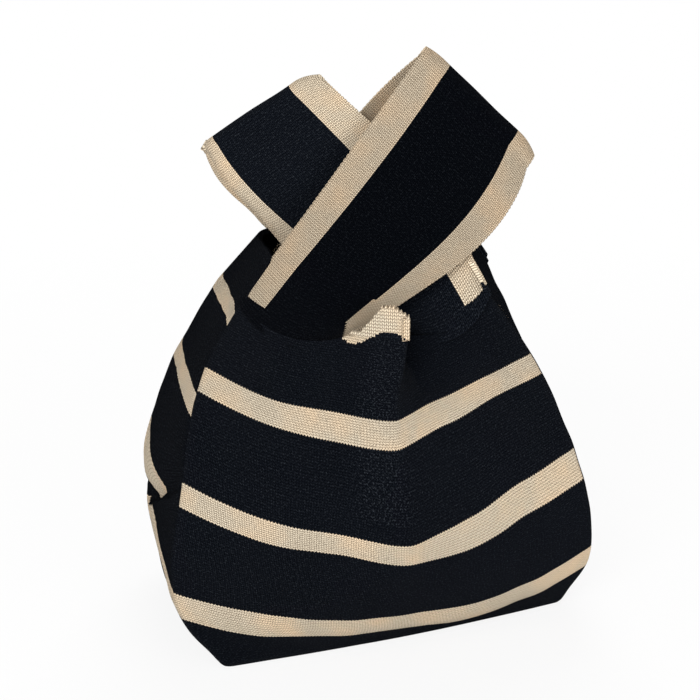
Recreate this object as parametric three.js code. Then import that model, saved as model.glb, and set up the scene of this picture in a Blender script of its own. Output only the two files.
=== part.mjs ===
// A soft knitted two-strap bag that stands filled, with the right strap drawn through the left one.
// Sizes are in millimetres. X runs to the right along the front, Y to the back and Z up.
// The origin is at the middle of the base, on the surface that the bag stands on.

import * as THREE from 'three';

// Fabric
const knitThickness = 3;
const joinGap = 0.3;
const stripeWidth = 12.5;
const strapWidth = 68;
const mouthWidth = 70;
const gussetStripeDrop = 13;
const lowStripeRise = 14;
const middleStripeRise = 24;
const highStripeRise = 18;
const topStripeRise = 14;
const knitRoughness = 0.95;

// Base edge. A ring's rounding makes the right half of its front fuller beside the ridge.
// Its shift is to the right, and its skew brings the left side forward and takes the right back.
const baseHalfWidth = 86;
const baseHalfDepth = 49;
const baseThickness = 3;
const baseSwell = 3;
const baseRidge = 3;
const baseRounding = 0.8;
const baseShift = 5;
const baseSkew = 0.125;

// Low stripe, where the bag is widest
const lowHeight = 29;
const lowHalfWidth = 101;
const lowHalfDepth = 46;
const lowSwell = 14;
const lowSag = 16;
const lowRidge = 2;
const lowLeftSwell = 2;
const lowRightSwell = 1;
const lowRounding = 0.8;

// Middle stripe
const middleHeight = 80;
const middleHalfWidth = 93.5;
const middleHalfDepth = 46;
const middleSwell = 29;
const middleSag = 21;
const middleRidge = 7;
const middleLeftSwell = 15;
const middleRightSwell = 1;
const middleRounding = 0.2;

// High stripe
const highHeight = 125;
const highHalfWidth = 78.5;
const highHalfDepth = 28;
const highSwell = 40;
const highSag = 13;
const highRidge = 7;
const highLeftSwell = 14;
const highRightSwell = -1;
const highRounding = 0.05;

// Mouth ring, where the straps are rooted
const mouthHeight = 165;
const mouthHalfWidth = 55;
const mouthHalfDepth = 28;
const mouthSwell = 28;
const mouthSag = 12;
const mouthRidge = 22;
const mouthLeftSwell = 16;
const mouthRightSwell = -3;
const mouthTilt = 4;

// Turn of each ring about Z, in degrees: the knot draws the top of the bag round
const middleTwist = 3;
const highTwist = 8;
const mouthTwist = 17;

// Knife pleat under the mouth: the place of its ridge, and the valley behind the ridge
const ridgeShare = 0.5;
const pleatWidth = 26;
const valleyX = 12;
const valleyDepth = 35;
const valleyRise = -7;
const pleatPuff = 3;
const highPleatShare = 0.12;
const pleatOnset = 3;
const borderUpright = 0.9;
const borderTuck = 0.4;

// Flap of each gusset between the strap roots
const leftFlapHeight = 38;
const leftFlapTaper = 0.75;
const rightFlapHeight = 34;
const rightFlapTaper = 1.9;
const flapLean = 41;
const cornerInset = 0.97;

// Seat of each strap root in the body
const rootDip = 9;

// Left strap, leaning to the right in front. Its inner border widens to a hook above the mouth.
const leftStrapLength = 131;
const leftStrapLean = 36.5;
const leftFoldSlope = 43;
const leftOuterBow = 0;
const leftInnerBow = 10;
const leftFoldRadius = 6.5;
const leftClosing = 0.97;
const leftRootGather = 0;
const leftHookWidth = 0.1;
const leftBackShift = 7;
const leftRootTuck = 3;
const leftCurl = 0;

// Right strap, leaning to the left through the left one. Its middle is gathered at its root.
const rightStrapLength = 117;
const rightStrapLean = 41;
const rightFoldSlope = 34;
const rightOuterBow = 7;
const rightInnerBow = 3;
const rightFoldRadius = 4.5;
const rightClosing = 2;
const rightRootGather = 0.95;
const rightHookWidth = 0;
const rightBackShift = 3;
const rightRootTuck = 6;
const rightCurl = 33;

// Fineness of the surfaces
const rootColumns = 8;
const mouthColumns = 4;
const pleatColumns = 3;
const gussetColumns = 8;
const blackRows = 3;
const borderColumns = 2;
const centreColumns = 5;
const legRows = 9;
const foldRows = 4;

// Yarn colours
const blackYarn = '#0b0d14';
const creamYarn = '#d6c3a6';

const panelWidth = 2 * strapWidth + mouthWidth;

// A small step along a surface, used to find which way it faces
const probe = 0.004;

function radians(degrees) {
  return degrees * Math.PI / 180;
}

function mix(from, to, share) {
  return from + (to - from) * share;
}

// The five rings of the body, from the base edge to the mouth ring
const rings = [
  {
    height: 0, halfWidth: baseHalfWidth, halfDepth: baseHalfDepth, swell: baseSwell, sag: 0,
    ridge: baseRidge, leftSwell: 0, rightSwell: 0, tilt: 0, twist: 0, pleat: 0,
    rounding: baseRounding, shift: baseShift, skew: baseSkew,
  },
  {
    height: lowHeight, halfWidth: lowHalfWidth, halfDepth: lowHalfDepth, swell: lowSwell,
    sag: lowSag, ridge: lowRidge, leftSwell: lowLeftSwell, rightSwell: lowRightSwell,
    tilt: 0, twist: 0, pleat: 0, rounding: lowRounding, shift: 0, skew: 0,
  },
  {
    height: middleHeight, halfWidth: middleHalfWidth, halfDepth: middleHalfDepth,
    swell: middleSwell, sag: middleSag, ridge: middleRidge, leftSwell: middleLeftSwell,
    rightSwell: middleRightSwell, tilt: 0, twist: middleTwist, pleat: 0,
    rounding: middleRounding, shift: 0, skew: 0,
  },
  {
    height: highHeight, halfWidth: highHalfWidth, halfDepth: highHalfDepth, swell: highSwell,
    sag: highSag, ridge: highRidge, leftSwell: highLeftSwell, rightSwell: highRightSwell,
    tilt: 0, twist: highTwist, pleat: highPleatShare, rounding: highRounding, shift: 0, skew: 0,
  },
  {
    height: mouthHeight, halfWidth: mouthHalfWidth, halfDepth: mouthHalfDepth, swell: mouthSwell,
    sag: mouthSag, ridge: mouthRidge, leftSwell: mouthLeftSwell, rightSwell: mouthRightSwell,
    tilt: mouthTilt, twist: mouthTwist, pleat: 1, rounding: 0, shift: 0, skew: 0,
  },
];

// Length of fabric up the crease to each ring
const ringRuns = rings.map(() => 0);
for (let level = 1; level < rings.length; level += 1) {
  const lower = rings[level - 1];
  const upper = rings[level];
  const rise = upper.height - lower.height;
  const inset = upper.halfWidth - lower.halfWidth;
  const setback = upper.halfDepth - lower.halfDepth;
  ringRuns[level] = ringRuns[level - 1] + Math.hypot(rise, inset, setback);
}
const mouthRun = ringRuns[rings.length - 1];

function slopeAt(key, level) {
  const lower = Math.max(level - 1, 0);
  const upper = Math.min(level + 1, rings.length - 1);
  return (rings[upper][key] - rings[lower][key]) / (ringRuns[upper] - ringRuns[lower]);
}

// One size of the ring at a length of fabric up the crease, on a smooth curve through the rings
function sizeAt(key, run) {
  let level = 0;
  while (level < rings.length - 2 && run > ringRuns[level + 1]) {
    level += 1;
  }
  const span = ringRuns[level + 1] - ringRuns[level];
  const t = Math.min(run - ringRuns[level], span) / span;
  const fromLower = 2 * t ** 3 - 3 * t ** 2 + 1;
  const lowerSlope = (t ** 3 - 2 * t ** 2 + t) * span * slopeAt(key, level);
  const upperSlope = (t ** 3 - t ** 2) * span * slopeAt(key, level + 1);
  return fromLower * rings[level][key] + lowerSlope
    + (1 - fromLower) * rings[level + 1][key] + upperSlope;
}

function ringAt(run) {
  const ring = { over: Math.max(run - mouthRun, 0) };
  for (const key of Object.keys(rings[0])) {
    ring[key] = sizeAt(key, run);
  }
  return ring;
}

// Turns a point of a ring about Z by the twist of that ring
function turned(point, twist) {
  return point.applyAxisAngle(new THREE.Vector3(0, 0, 1), -radians(twist));
}

const valleyShare = ridgeShare + pleatWidth / panelWidth;

// The valley of the pleat at one ring: on the plain front below, and tucked in at the mouth
function valleyOf(ring) {
  const share = (valleyShare - ridgeShare) / (1 - ridgeShare);
  const ramp = share ** (1 + ring.rounding);
  const plain = new THREE.Vector3(
    mix(ring.ridge, ring.halfWidth, share),
    -(ring.halfDepth + ring.swell * (1 - ramp)),
    ring.height - ring.sag * (1 - ramp),
  );
  const tucked = new THREE.Vector3(valleyX, -valleyDepth, ring.height - ring.sag + valleyRise);
  return plain.lerp(tucked, Math.max(ring.pleat, 0));
}

// A point of the front, from its left crease at 0 to its right crease at 1, before the twist
function frontPoint(across, ring) {
  const ridgePoint = new THREE.Vector3(
    ring.ridge, -(ring.halfDepth + ring.swell), ring.height - ring.sag,
  );
  if (across <= ridgeShare) {
    const share = across / ridgeShare;
    const arch = 1 - (1 - share) ** 2;
    return new THREE.Vector3(
      mix(-ring.halfWidth, ridgePoint.x, share),
      mix(-ring.halfDepth, ridgePoint.y, arch),
      mix(ring.height - ring.tilt, ridgePoint.z, arch) + ring.over,
    );
  }
  const share = (across - ridgeShare) / (1 - ridgeShare);
  const ramp = share ** (1 + ring.rounding);
  const plain = new THREE.Vector3(
    mix(ring.ridge, ring.halfWidth, share),
    mix(ridgePoint.y, -ring.halfDepth, ramp),
    mix(ridgePoint.z, ring.height + ring.tilt, ramp),
  );
  const valley = valleyOf(ring);
  let pleated = null;
  if (across < valleyShare) {
    pleated = ridgePoint.lerp(valley, (across - ridgeShare) / (valleyShare - ridgeShare));
  } else {
    const rest = (across - valleyShare) / (1 - valleyShare);
    const crease = new THREE.Vector3(
      ring.halfWidth, -ring.halfDepth, ring.height + ring.tilt,
    );
    pleated = valley.lerp(crease, rest);
    pleated.y -= pleatPuff * 4 * rest * (1 - rest);
  }
  plain.lerp(pleated, Math.min(Math.max(ring.pleat, 0) * pleatOnset, 1));
  plain.z += ring.over;
  return plain;
}

// A point of the right or left gusset, from its front crease at 0 to its back crease at 1
function gussetPoint(sign, across, ring) {
  const swell = sign > 0 ? ring.rightSwell : ring.leftSwell;
  const lean = radians(flapLean);
  const out = ring.halfWidth + swell * Math.sin(Math.PI * across) - ring.over * Math.sin(lean);
  return new THREE.Vector3(
    sign * out,
    mix(-ring.halfDepth, ring.halfDepth, across),
    ring.height + sign * ring.tilt + ring.over * Math.cos(lean),
  );
}

// A point of the body. The station goes round it: front 0 to 1, right gusset 1 to 2,
// back 2 to 3 and left gusset 3 to 4. The run is the length of fabric up the crease.
function bodyPoint(station, run) {
  const ring = ringAt(run);
  const place = (station + 4) % 4;
  let point = null;
  if (place < 1) {
    point = frontPoint(place, ring);
  } else if (place < 2) {
    point = gussetPoint(1, place - 1, ring);
  } else if (place < 3) {
    point = frontPoint(3 - place, ring);
    point.y = -point.y;
  } else {
    point = gussetPoint(-1, 4 - place, ring);
  }
  point.x += ring.shift;
  point.y += ring.skew * point.x;
  return turned(point, ring.twist);
}

const strapShare = strapWidth / panelWidth;

// The seat of a strap root: a circle about an axis that runs through the bag, front to back.
// It passes through the crease and the corner of the mouth, and dips between them.
function rootSeat(creaseStation, cornerStation) {
  const crease = turned(bodyPoint(creaseStation, mouthRun), -mouthTwist);
  const corner = turned(bodyPoint(cornerStation, mouthRun), -mouthTwist);
  const chordX = corner.x - crease.x;
  const chordZ = corner.z - crease.z;
  const chord = Math.hypot(chordX, chordZ);
  const radius = (chord ** 2 / 4 + rootDip ** 2) / (2 * rootDip);
  const lift = (radius - rootDip) / chord;
  return {
    x: (crease.x + corner.x) / 2 - Math.sign(chordX) * chordZ * lift,
    z: (crease.z + corner.z) / 2 + Math.abs(chordX) * lift,
    radius,
  };
}

const leftSeat = rootSeat(0, strapShare);
const rightSeat = rootSeat(1, 1 - strapShare);

// Values from one end to the other, evenly spaced, without the last
function spread(from, to, count) {
  return Array.from({ length: count }, (unused, index) => mix(from, to, index / count));
}

// Stations across the front, with one on each fold and at each end of the strap roots
const mouthStations = [
  ...spread(strapShare, ridgeShare, mouthColumns),
  ...spread(ridgeShare, valleyShare, pleatColumns),
  valleyShare,
  1 - strapShare,
];
const frontStations = [
  ...spread(0, strapShare, rootColumns),
  ...mouthStations,
  ...spread(1, 1 - strapShare, rootColumns).reverse(),
];
const rightGussetStations = [...spread(1, 2, gussetColumns), 2];
const backStations = frontStations.map((station) => 3 - station).reverse();
const leftGussetStations = [...spread(3, 4, gussetColumns), 4];

// Height of a seat below its axis at a place along it, with some clearance outside its circle
function seatHeight(x, seat, clearance) {
  const reach = seat.radius + clearance;
  const aside = Math.min(Math.abs(x - seat.x), reach);
  return seat.z - Math.sqrt(reach ** 2 - aside ** 2);
}

// Moves a point straight up or down until it lies on the seat
function seated(point, seat, clearance) {
  turned(point, -mouthTwist);
  point.z = seatHeight(point.x, seat, clearance);
  return turned(point, mouthTwist);
}

// How far up the fabric the seat of a root lies at a station of the front
function seatRun(station, seat) {
  const row = turned(bodyPoint(station, mouthRun), -mouthTwist);
  return mouthRun - Math.max(row.z - seatHeight(row.x, seat, 0), 0);
}

// The top of the body's fabric at a station: the strap seats, and the mouth between them
function bodyTop(station) {
  const across = station > 1 ? 3 - station : station;
  if (across < strapShare) {
    return seatRun(across, leftSeat);
  }
  if (across > 1 - strapShare) {
    return seatRun(across, rightSeat);
  }
  return mouthRun;
}

function makeStrap(strap) {
  return { ...strap, halfRun: strap.length + strap.foldRadius * Math.PI / 2 };
}

const leftStrap = makeStrap({
  sign: -1, seat: leftSeat, length: leftStrapLength, lean: radians(leftStrapLean),
  foldSlope: radians(leftFoldSlope), outerBow: leftOuterBow, innerBow: leftInnerBow,
  foldRadius: leftFoldRadius, closing: leftClosing, rootGather: leftRootGather,
  hookWidth: leftHookWidth, backShift: leftBackShift, rootTuck: leftRootTuck,
  curl: radians(leftCurl),
});
const rightStrap = makeStrap({
  sign: 1, seat: rightSeat, length: rightStrapLength, lean: radians(rightStrapLean),
  foldSlope: radians(rightFoldSlope), outerBow: rightOuterBow, innerBow: rightInnerBow,
  foldRadius: rightFoldRadius, closing: rightClosing, rootGather: rightRootGather,
  hookWidth: rightHookWidth, backShift: rightBackShift, rootTuck: rightRootTuck,
  curl: radians(rightCurl),
});

// A point of a strap's root. Its inner border turns back behind the end of the mouth's border.
function rootPoint(strap, share) {
  const fromCrease = share * strapShare;
  const station = strap.sign < 0 ? fromCrease : 1 - fromCrease;
  const point = bodyPoint(station, seatRun(station, strap.seat));
  const root = turned(seated(point, strap.seat, -joinGap / 2), -mouthTwist);
  root.y += strap.rootTuck * Math.max(2 * share - 1, 0) ** 2;
  return root;
}

// A bow of 1 at two thirds of the way from 0 to 1, and of 0 at both ends
function bowAt(share) {
  return 27 / 4 * share ** 2 * (1 - share);
}

// Where a lengthways line of a strap lies across it: the middle is gathered towards the inner
// edge at the root, and the inner border is wider in the lower half of the leg
function lineAcross(strap, line, up) {
  const gather = strap.rootGather * (1 - up) ** 2 * line * (1 - line);
  const inBorder = Math.sin(Math.PI * Math.max(line - 0.6, 0) / 0.4) ** 2;
  return line + gather - strap.hookWidth * bowAt(1 - Math.min(2 * up, 1)) * inBorder;
}

// A point on the front leg of a strap: its line from the outer edge at 0 to the inner edge at 1,
// and up from its root at 0 to the start of its fold at 1
function legPoint(strap, line, up) {
  const across = lineAcross(strap, line, up);
  const along = new THREE.Vector3(-strap.sign * Math.sin(strap.lean), 0, Math.cos(strap.lean));
  const inward = new THREE.Vector3(
    -strap.sign * Math.cos(strap.foldSlope), 0, -Math.sin(strap.foldSlope),
  );
  const outerRoot = rootPoint(strap, 0);
  const innerRoot = rootPoint(strap, 1);
  const outerTop = outerRoot.clone().addScaledVector(along, strap.length);
  const innerTop = outerTop.clone().addScaledVector(inward, strapWidth);
  const bow = bowAt(up);
  const outer = outerRoot.clone().lerp(outerTop, up).addScaledVector(inward, -strap.outerBow * bow);
  const inner = innerRoot.clone().lerp(innerTop, up).addScaledVector(inward, strap.innerBow * bow);
  const chord = outerRoot.clone().lerp(innerRoot, across);
  const root = rootPoint(strap, across);
  const fade = (1 - up) ** 3;
  const point = outer.lerp(inner, across).addScaledVector(root.clone().sub(chord), fade);
  const open = (1 - up) ** strap.closing;
  point.y = -strap.foldRadius + (root.y + strap.foldRadius) * open;
  return point;
}

// A point of a strap, by the length of fabric from its front root over its fold
function strapPoint(strap, across, run) {
  const mirrored = run > strap.halfRun;
  const way = mirrored ? 2 * strap.halfRun - run : run;
  const up = Math.min(way / strap.length, 1);
  let point = null;
  if (way <= strap.length) {
    point = legPoint(strap, across, up);
  } else {
    const turn = (way - strap.length) / strap.foldRadius;
    point = legPoint(strap, across, 1);
    point.x -= strap.sign * strap.foldRadius * Math.sin(turn) * Math.sin(strap.lean);
    point.z += strap.foldRadius * Math.sin(turn) * Math.cos(strap.lean);
    point.y = -strap.foldRadius * Math.cos(turn);
  }
  if (mirrored) {
    point.y = -point.y;
    point.x -= strap.backShift * bowAt(up);
  }
  // The inner border curls back, the more so towards the fold
  const beyond = Math.max(across - 1 + stripeWidth / strapWidth, 0) * strapWidth;
  const curl = strap.curl * up;
  point.x += strap.sign * Math.cos(strap.foldSlope) * beyond * (1 - Math.cos(curl));
  point.y += beyond * Math.sin(curl);
  point.z += Math.sin(strap.foldSlope) * beyond * (1 - Math.cos(curl));
  return turned(point, mouthTwist);
}

function faceNormal(across, up) {
  return new THREE.Vector3().crossVectors(across, up).normalize();
}

// The direction up the fabric at a point of a surface
function upward(surface, a, b, here) {
  return here.clone().sub(surface(a, b - knitThickness / 10)).normalize();
}

// The point one fabric thickness inside a surface, mitred where the surface has a crease
function innerPoint(surface, a, b, here) {
  const before = surface(a - probe, b);
  const after = surface(a + probe, b);
  const up = upward(surface, a, b, here);
  const first = faceNormal(here.clone().sub(before), up);
  const second = faceNormal(after.sub(here), up);
  const reach = knitThickness / (1 + first.dot(second));
  return here.clone().addScaledVector(first.add(second), -reach);
}

// A closed piece of fabric over a grid of its outer surface
function knitPiece(name, colour, grid) {
  const { columns, rows, surface, lineAt, sideGap, endGap, finish } = grid;
  const positions = [];
  const indices = [];
  const layerSize = (columns + 1) * (rows + 1);
  const outer = [];
  const inner = [];
  for (let row = 0; row <= rows; row += 1) {
    for (let column = 0; column <= columns; column += 1) {
      const [a, b] = lineAt(column, row);
      const here = surface(a, b);
      const under = innerPoint(surface, a, b, here);
      const shift = new THREE.Vector3();
      if (column === 0 || column === columns) {
        const step = column === 0 ? probe : -probe;
        shift.add(surface(a + step, b).sub(here).setLength(sideGap));
      }
      if (row === 0 || row === rows) {
        shift.addScaledVector(upward(surface, a, b, here), row === 0 ? endGap : -endGap);
      }
      here.add(shift);
      under.add(shift);
      if (finish) {
        finish(here, column, row);
        finish(under, column, row);
      }
      outer.push(here);
      inner.push(under);
    }
  }
  for (const point of [...outer, ...inner]) {
    positions.push(point.x, point.y, point.z);
  }
  const at = (column, row) => row * (columns + 1) + column;
  const quad = (p, q, r, s) => indices.push(p, q, r, p, r, s);
  for (let row = 0; row < rows; row += 1) {
    for (let column = 0; column < columns; column += 1) {
      const p = at(column, row);
      const q = at(column + 1, row);
      const r = at(column + 1, row + 1);
      const s = at(column, row + 1);
      quad(p, q, r, s);
      quad(layerSize + s, layerSize + r, layerSize + q, layerSize + p);
    }
  }
  // Edge faces that meet are cut along the same diagonal, so that they lie flat against each other
  const nearEdge = (p, q) => quad(layerSize + p, layerSize + q, q, p);
  const farEdge = (p, q) => quad(layerSize + q, q, p, layerSize + p);
  for (let column = 0; column < columns; column += 1) {
    nearEdge(at(column, 0), at(column + 1, 0));
    farEdge(at(column + 1, rows), at(column, rows));
  }
  for (let row = 0; row < rows; row += 1) {
    nearEdge(at(columns, row), at(columns, row + 1));
    farEdge(at(0, row + 1), at(0, row));
  }
  const geometry = new THREE.BufferGeometry();
  geometry.setAttribute('position', new THREE.Float32BufferAttribute(positions, 3));
  geometry.setIndex(indices);
  geometry.computeVertexNormals();
  return pieceMesh(name, colour, geometry);
}

function pieceMesh(name, colour, geometry) {
  const material = new THREE.MeshStandardMaterial({
    color: colour, roughness: knitRoughness, metalness: 0,
  });
  const mesh = new THREE.Mesh(geometry, material);
  mesh.name = name;
  return mesh;
}

// A band of the body between two lengths of fabric, from one station to another
function bodyBand(name, colour, stations, rows, lowRun, highRun, finish, surface = bodyPoint) {
  const columns = stations.length - 1;
  const lineAt = (column, row) => {
    const station = stations[column];
    return [station, mix(lowRun(station), highRun(station), row / rows)];
  };
  return knitPiece(name, colour, {
    columns, rows, surface, lineAt, sideGap: joinGap, endGap: joinGap / 2, finish,
  });
}

// Where the stripes of the front and back lie, in lengths of fabric up the crease
function panelStripes() {
  return [1, 2, 3].map((level) => () => ringRuns[level]);
}

// The stripes of a gusset start lower at its creases than the front's, and rise in its middle
function gussetStripes() {
  const rises = [lowStripeRise, middleStripeRise, highStripeRise, topStripeRise];
  return rises.map((rise, index) => (station) => {
    const drop = index > 0 ? gussetStripeDrop : 0;
    return ringRuns[index + 1] - drop + rise * Math.sin(Math.PI * (station % 1));
  });
}

// A gusset's top corners keep clear of the straps that rise beside them
function clearTopCorners(seat, rows) {
  const creaseX = seat === leftSeat ? -mouthHalfWidth : mouthHalfWidth;
  const highest = seatHeight(creaseX, seat, 2 * joinGap);
  return (point, column, row) => {
    if (row === rows && column % gussetColumns === 0) {
      turned(point, -mouthTwist);
      point.y *= cornerInset;
      point.z = Math.min(point.z, highest);
      turned(point, mouthTwist);
    }
  };
}

// The body's top row in a strap root lies on the seat of that strap
function seatTopRow(stations, rows) {
  return (point, column, row) => {
    const station = stations[column];
    const across = station > 1 ? 3 - station : station;
    if (row === rows && across < strapShare - probe) {
      seated(point, leftSeat, joinGap / 2);
    }
    if (row === rows && across > 1 - strapShare + probe) {
      seated(point, rightSeat, joinGap / 2);
    }
  };
}

// The bands of one panel of the body, from the base edge up
function panelBands(label, stations, stripes, topRun, topRows, finish) {
  const pieces = [];
  let low = () => 0;
  stripes.forEach((middle, index) => {
    const start = low;
    const bottom = (station) => middle(station) - stripeWidth / 2;
    const top = (station) => middle(station) + stripeWidth / 2;
    pieces.push(bodyBand(
      `${label}_black_${index + 1}`, blackYarn, stations, blackRows, start, bottom,
    ));
    pieces.push(bodyBand(
      `${label}_stripe_${index + 1}`, creamYarn, stations, 1, bottom, top,
    ));
    low = top;
  });
  pieces.push(bodyBand(
    `${label}_black_${stripes.length + 1}`, blackYarn, stations, topRows, low, topRun, finish,
  ));
  return pieces;
}

// A point of the mouth's border. Its left end leans with the edge of the left strap beside it,
// and its part behind the pleat's ridge is tucked down.
function mouthPoint(station, run) {
  const rise = run - mouthRun;
  if (rise < 0) {
    return bodyPoint(station, run);
  }
  const place = station > 1 ? 3 - station : station;
  const ends = station > 1 ? [2 * leftStrap.halfRun, -1] : [0, 1];
  const beside = strapPoint(leftStrap, 1, ends[0] + ends[1] * rise);
  beside.sub(strapPoint(leftStrap, 1, ends[0]));
  const share = (place - strapShare) / (ridgeShare - strapShare);
  const upright = THREE.MathUtils.smoothstep(share, 0, borderUpright);
  const hidden = THREE.MathUtils.smoothstep(place, ridgeShare, valleyShare);
  const up = beside.lerp(new THREE.Vector3(0, 0, rise), upright);
  up.z -= borderTuck * hidden * rise;
  return bodyPoint(station, mouthRun).add(up);
}

// The cream border of the mouth, folded with the pleat, between the two strap roots
function mouthBorder(label, stations) {
  return bodyBand(
    `${label}_mouth_border`, creamYarn, stations, 1,
    () => mouthRun, () => mouthRun + stripeWidth, null, mouthPoint,
  );
}

// The body's flap between two strap roots, by the share across a gusset
function gussetTop(station) {
  const height = station < 3 ? rightFlapHeight : leftFlapHeight;
  const taper = station < 3 ? rightFlapTaper : leftFlapTaper;
  return mouthRun + height * Math.abs(Math.sin(Math.PI * station)) ** taper;
}

// One lengthways band of a strap, between two shares of its width
function strapBand(name, colour, strap, fromShare, toShare, columns) {
  const legEnd = 2 * strap.halfRun - strap.length;
  const runs = [
    ...spread(0, strap.length, legRows),
    ...spread(strap.length, legEnd, foldRows),
    ...spread(legEnd, 2 * strap.halfRun, legRows),
    2 * strap.halfRun,
  ];
  const rows = runs.length - 1;
  const surface = (a, b) => strapPoint(strap, strap.sign < 0 ? a : 1 - a, b);
  const lineAt = (column, row) => {
    const place = strap.sign < 0 ? column / columns : 1 - column / columns;
    const share = mix(fromShare, toShare, place);
    return [strap.sign < 0 ? share : 1 - share, runs[row]];
  };
  const finish = (point, column, row) => {
    if (row === 0 || row === rows) {
      seated(point, strap.seat, -joinGap / 2);
    }
  };
  return knitPiece(name, colour, {
    columns, rows, surface, lineAt, sideGap: joinGap / 2, endGap: 0, finish,
  });
}

function strapPieces(label, strap) {
  const border = stripeWidth / strapWidth;
  return [
    strapBand(`${label}_strap_outer_border`, creamYarn, strap, 0, border, borderColumns),
    strapBand(`${label}_strap_centre`, blackYarn, strap, border, 1 - border, centreColumns),
    strapBand(`${label}_strap_inner_border`, creamYarn, strap, 1 - border, 1, borderColumns),
  ];
}

// The flat base, inside the lower edge of the four panels
function basePanel() {
  const sides = [frontStations, rightGussetStations, backStations, leftGussetStations];
  const rowRun = (ringRuns[1] - stripeWidth / 2) / blackRows;
  const corners = sides.flatMap((stations) => stations.slice(0, -1)).map((station) => {
    // The panels lean in or out above the base edge, so the narrower of two heights counts
    const [low, high] = [0, rowRun].map((run) => {
      const here = bodyPoint(station, run);
      const edge = innerPoint(bodyPoint, station, run, here);
      const inset = edge.clone().sub(here).setZ(0).setLength(joinGap);
      return edge.add(inset);
    });
    const top = low.clone().lerp(high, (baseThickness - low.z) / (high.z - low.z));
    const inner = ['x', 'y'].map((key) => Math.min(Math.abs(low[key]), Math.abs(top[key])));
    return new THREE.Vector2(Math.sign(low.x) * inner[0], Math.sign(low.y) * inner[1]);
  });
  const outline = new THREE.Shape(corners);
  const geometry = new THREE.ExtrudeGeometry(outline, { depth: baseThickness, bevelEnabled: false });
  return pieceMesh('base_panel', blackYarn, geometry);
}

const bag = new THREE.Group();
bag.name = 'knot_bag';
bag.add(basePanel());

const topRows = blackRows + 1;
const bodyPieces = [
  ...panelBands(
    'front', frontStations, panelStripes(), bodyTop, topRows, seatTopRow(frontStations, topRows),
  ),
  ...panelBands(
    'back', backStations, panelStripes(), bodyTop, topRows, seatTopRow(backStations, topRows),
  ),
  ...panelBands(
    'right_gusset', rightGussetStations, gussetStripes(), gussetTop, blackRows,
    clearTopCorners(rightSeat, blackRows),
  ),
  ...panelBands(
    'left_gusset', leftGussetStations, gussetStripes(), gussetTop, blackRows,
    clearTopCorners(leftSeat, blackRows),
  ),
  mouthBorder('front', mouthStations),
  mouthBorder('back', mouthStations.map((station) => 3 - station).reverse()),
];
for (const piece of bodyPieces) {
  bag.add(piece);
}

for (const piece of [...strapPieces('left', leftStrap), ...strapPieces('right', rightStrap)]) {
  bag.add(piece);
}

export default bag;
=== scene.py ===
# A soft knitted bag with two straps, standing filled, one strap drawn through the other
import math

import bpy
import numpy as np
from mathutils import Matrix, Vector, noise


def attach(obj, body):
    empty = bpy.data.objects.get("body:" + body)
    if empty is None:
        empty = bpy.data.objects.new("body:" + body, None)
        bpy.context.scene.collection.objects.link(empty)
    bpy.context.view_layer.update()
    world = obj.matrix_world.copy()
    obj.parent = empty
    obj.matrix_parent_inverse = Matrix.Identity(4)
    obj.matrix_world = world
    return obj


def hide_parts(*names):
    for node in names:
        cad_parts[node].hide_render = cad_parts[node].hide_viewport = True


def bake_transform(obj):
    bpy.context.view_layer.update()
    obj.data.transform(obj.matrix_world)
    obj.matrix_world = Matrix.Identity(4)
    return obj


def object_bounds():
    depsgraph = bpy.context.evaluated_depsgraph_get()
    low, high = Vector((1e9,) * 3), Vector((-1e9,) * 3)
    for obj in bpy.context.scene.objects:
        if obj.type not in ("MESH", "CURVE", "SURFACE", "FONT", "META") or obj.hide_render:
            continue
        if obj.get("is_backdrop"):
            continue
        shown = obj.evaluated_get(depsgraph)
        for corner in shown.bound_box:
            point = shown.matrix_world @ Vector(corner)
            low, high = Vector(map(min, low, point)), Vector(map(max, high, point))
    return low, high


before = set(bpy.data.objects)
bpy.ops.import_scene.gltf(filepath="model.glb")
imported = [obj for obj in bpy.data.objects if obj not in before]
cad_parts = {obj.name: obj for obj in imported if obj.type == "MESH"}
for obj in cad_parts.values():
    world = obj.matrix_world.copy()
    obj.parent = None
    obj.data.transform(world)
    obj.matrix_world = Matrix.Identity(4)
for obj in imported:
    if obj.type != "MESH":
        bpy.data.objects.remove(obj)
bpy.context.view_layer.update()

# Camera, from the left of the front and above
camera_yaw = math.radians(13)
camera_pitch = math.radians(20)
camera_distance = 0.665
camera_aim = Vector((-0.008, 0, 0.1285))
camera_back = Vector((
    -math.sin(camera_yaw) * math.cos(camera_pitch),
    -math.cos(camera_yaw) * math.cos(camera_pitch),
    math.sin(camera_pitch),
))
bpy.ops.object.camera_add(
    location=camera_aim + camera_back * camera_distance,
    rotation=(math.pi / 2 - camera_pitch, 0, -camera_yaw),
)
camera = bpy.context.object
camera.name = "camera"
camera.data.lens = 72
camera.data.sensor_width = 36
bpy.context.scene.camera = camera
bpy.context.scene.view_settings.view_transform = "Standard"

# Sizes of the bag in millimetres, and shares of its parts
MM = 0.001
fabric = 3
wale, course = 1.5, 1.15
wide_wale, wide_course = 2.2, 1.5
stripe_width = 12.5
strap_width = 68
mouth_width = 70
panel_width = 2 * strap_width + mouth_width
ring_keys = (
    "height", "half_width", "half_depth", "swell", "sag", "ridge",
    "left_swell", "right_swell", "tilt", "twist", "pleat", "rounding", "shift", "skew",
)
rings = np.array([
    [0, 86, 49, 3, 0, 3, 0, 0, 0, 0, 0, 0.8, 5, 0.125],
    [29, 101, 46, 14, 16, 2, 3, 1, 0, 0, 0, 0.8, 0, 0],
    [80, 93.5, 46, 29, 21, 7, 15, 1, 0, 3, 0, 0.2, 0, 0],
    [125, 78.5, 28, 40, 13, 7, 14, -1, 0, 8, 0.12, 0.05, 0, 0],
    [165, 55, 28, 28, 12, 22, 16, -3, 4, 17, 1, 0, 0, 0],
], float)
mouth_twist = math.radians(17)
ridge_share = 0.5
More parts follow.
